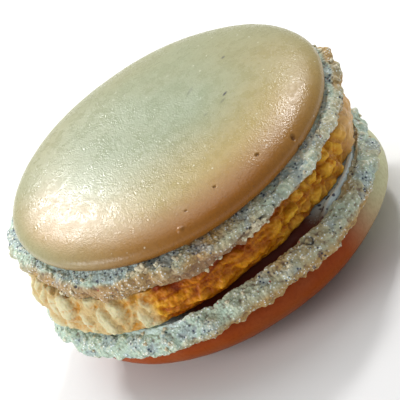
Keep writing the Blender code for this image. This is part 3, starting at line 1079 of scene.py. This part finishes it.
def add_lamp(name, azimuth, elevation, distance, width, height, power):
    """A white rectangular area lamp, turned to the macaron."""
    lamp = bpy.data.lights.new(name, "AREA")
    lamp.shape = "RECTANGLE"
    lamp.size = width
    lamp.size_y = height
    lamp.energy = power
    holder = bpy.data.objects.new(name, lamp)
    side, up = radians(azimuth), radians(elevation)
    direction = Vector((cos(up) * cos(side), cos(up) * sin(side), sin(up)))
    holder.location = direction * distance + Vector((0, 0, LAMP_AIM))
    holder.rotation_euler = direction.to_track_quat("Z", "Y").to_euler()
    bpy.context.scene.collection.objects.link(holder)


def add_camera(studio):
    """The camera looks down at the front, rolled so that the macaron lies aslant."""
    elevation, roll = studio.camera_elevation, studio.camera_roll
    back = Vector((0, -cos(elevation), sin(elevation)))
    right = Vector((1, 0, 0))
    up = back.cross(right)
    aslant = cos(roll) * right - sin(roll) * up
    upward = sin(roll) * right + cos(roll) * up
    target = Vector((0, 0, CAMERA_AIM)) + CAMERA_SIDESTEP * aslant - CAMERA_DROP * upward
    camera = bpy.data.objects.new("camera", bpy.data.cameras.new("camera"))
    camera.data.lens = studio.lens
    camera.data.sensor_width = 36
    camera.data.clip_start = 0.01
    turn = Matrix((aslant, upward, back)).transposed().to_4x4()
    camera.matrix_world = Matrix.Translation(target + back * studio.camera_distance) @ turn
    bpy.context.scene.collection.objects.link(camera)
    bpy.context.scene.camera = camera


def add_floor(colours):
    """The level floor under the macaron, which belongs to the studio only."""
    shape = bmesh.new()
    bmesh.ops.create_grid(shape, x_segments=1, y_segments=1, size=FLOOR_SIZE)
    mesh = bpy.data.meshes.new("floor")
    shape.to_mesh(mesh)
    shape.free()
    mesh.materials.append(studio_floor(colours))
    floor = bpy.data.objects.new("floor", mesh)
    bpy.context.scene.collection.objects.link(floor)


def add_world(studio):
    """Even white light from all round."""
    world = bpy.data.worlds.new("studio")
    world.use_nodes = True
    background = world.node_tree.nodes["Background"]
    background.inputs["Color"].default_value = (1.0, 1.0, 1.0, 1.0)
    background.inputs["Strength"].default_value = studio.ambient
    bpy.context.scene.world = world


# Operators


class MACARON_OT_upper_cap(bpy.types.Operator):
    """Build the smooth cap of the upper shell"""

    bl_idname = "macaron.upper_cap"
    bl_label = "Upper Cap"

    def execute(self, context):
        scene = context.scene
        finish = upper_crust(scene.macaron_colours, scene.macaron_textures)
        make_upper_cap(scene.macaron_sizes, finish)
        return {"FINISHED"}


class MACARON_OT_upper_foot(bpy.types.Operator):
    """Build the bubbly foot of the upper shell"""

    bl_idname = "macaron.upper_foot"
    bl_label = "Upper Foot"

    def execute(self, context):
        scene = context.scene
        finish = baked_foam(scene.macaron_colours, "upper foam")
        make_upper_foot(scene.macaron_textures, finish)
        return {"FINISHED"}


class MACARON_OT_buttercream(bpy.types.Operator):
    """Build the layer of buttercream"""

    bl_idname = "macaron.buttercream"
    bl_label = "Buttercream"

    def execute(self, context):
        scene = context.scene
        finish = buttercream(scene.macaron_colours)
        make_buttercream(scene.macaron_sizes, scene.macaron_textures, finish)
        return {"FINISHED"}


class MACARON_OT_lower_foot(bpy.types.Operator):
    """Build the bubbly foot of the lower shell"""

    bl_idname = "macaron.lower_foot"
    bl_label = "Lower Foot"

    def execute(self, context):
        scene = context.scene
        finish = baked_foam(scene.macaron_colours, "lower foam")
        make_lower_foot(scene.macaron_textures, finish)
        return {"FINISHED"}


class MACARON_OT_lower_cap(bpy.types.Operator):
    """Build the smooth cap of the lower shell"""

    bl_idname = "macaron.lower_cap"
    bl_label = "Lower Cap"

    def execute(self, context):
        scene = context.scene
        finish = lower_crust(scene.macaron_colours, scene.macaron_textures)
        make_lower_cap(scene.macaron_sizes, finish)
        return {"FINISHED"}


class MACARON_OT_crumbs(bpy.types.Operator):
    """Scatter crumbs over the feet"""

    bl_idname = "macaron.crumbs"
    bl_label = "Crumbs"

    def execute(self, context):
        scene = context.scene
        make_crumbs(scene.macaron_textures, crumb_finish(scene.macaron_colours))
        return {"FINISHED"}


class MACARON_OT_stage(bpy.types.Operator):
    """Set up the floor, the lamps and the camera"""

    bl_idname = "macaron.stage"
    bl_label = "Studio"

    def execute(self, context):
        scene = context.scene
        studio = scene.macaron_studio
        scene.view_settings.view_transform = "Standard"
        add_floor(scene.macaron_colours)
        add_world(studio)
        for name, *place, power in LAMPS:
            add_lamp(name, *place, getattr(studio, power))
        add_camera(studio)
        return {"FINISHED"}


class MACARON_PT_panel(bpy.types.Panel):
    """The macaron's pieces and settings"""

    bl_idname = "MACARON_PT_panel"
    bl_label = "Macaron"
    bl_space_type = "VIEW_3D"
    bl_region_type = "UI"
    bl_category = "Macaron"

    def draw(self, context):
        for operator in OPERATORS:
            self.layout.operator(operator.bl_idname)
        for name in GROUPS:
            settings = getattr(context.scene, name)
            box = self.layout.box()
            for key in settings.__annotations__:
                box.prop(settings, key)


GROUPS = {
    "macaron_sizes": MacaronSizes,
    "macaron_textures": TextureSizes,
    "macaron_colours": MacaronColours,
    "macaron_studio": StudioSettings,
}
OPERATORS = (
    MACARON_OT_upper_cap,
    MACARON_OT_upper_foot,
    MACARON_OT_buttercream,
    MACARON_OT_lower_foot,
    MACARON_OT_lower_cap,
    MACARON_OT_crumbs,
    MACARON_OT_stage,
)


def register():
    """Adds the settings, the operators and the panel."""
    for name, group in GROUPS.items():
        bpy.utils.register_class(group)
        setattr(bpy.types.Scene, name, PointerProperty(type=group))
    for operator in OPERATORS:
        bpy.utils.register_class(operator)
    bpy.utils.register_class(MACARON_PT_panel)


def unregister():
    """Takes away what register() added."""
    bpy.utils.unregister_class(MACARON_PT_panel)
    for operator in reversed(OPERATORS):
        bpy.utils.unregister_class(operator)
    for name, group in reversed(GROUPS.items()):
        delattr(bpy.types.Scene, name)
        bpy.utils.unregister_class(group)


def main():
    """Builds the macaron and its studio."""
    register()
    bpy.ops.macaron.upper_cap()
    bpy.ops.macaron.upper_foot()
    bpy.ops.macaron.buttercream()
    bpy.ops.macaron.lower_foot()
    bpy.ops.macaron.lower_cap()
    bpy.ops.macaron.crumbs()
    bpy.ops.macaron.stage()


if __name__ == "__main__":
    main()
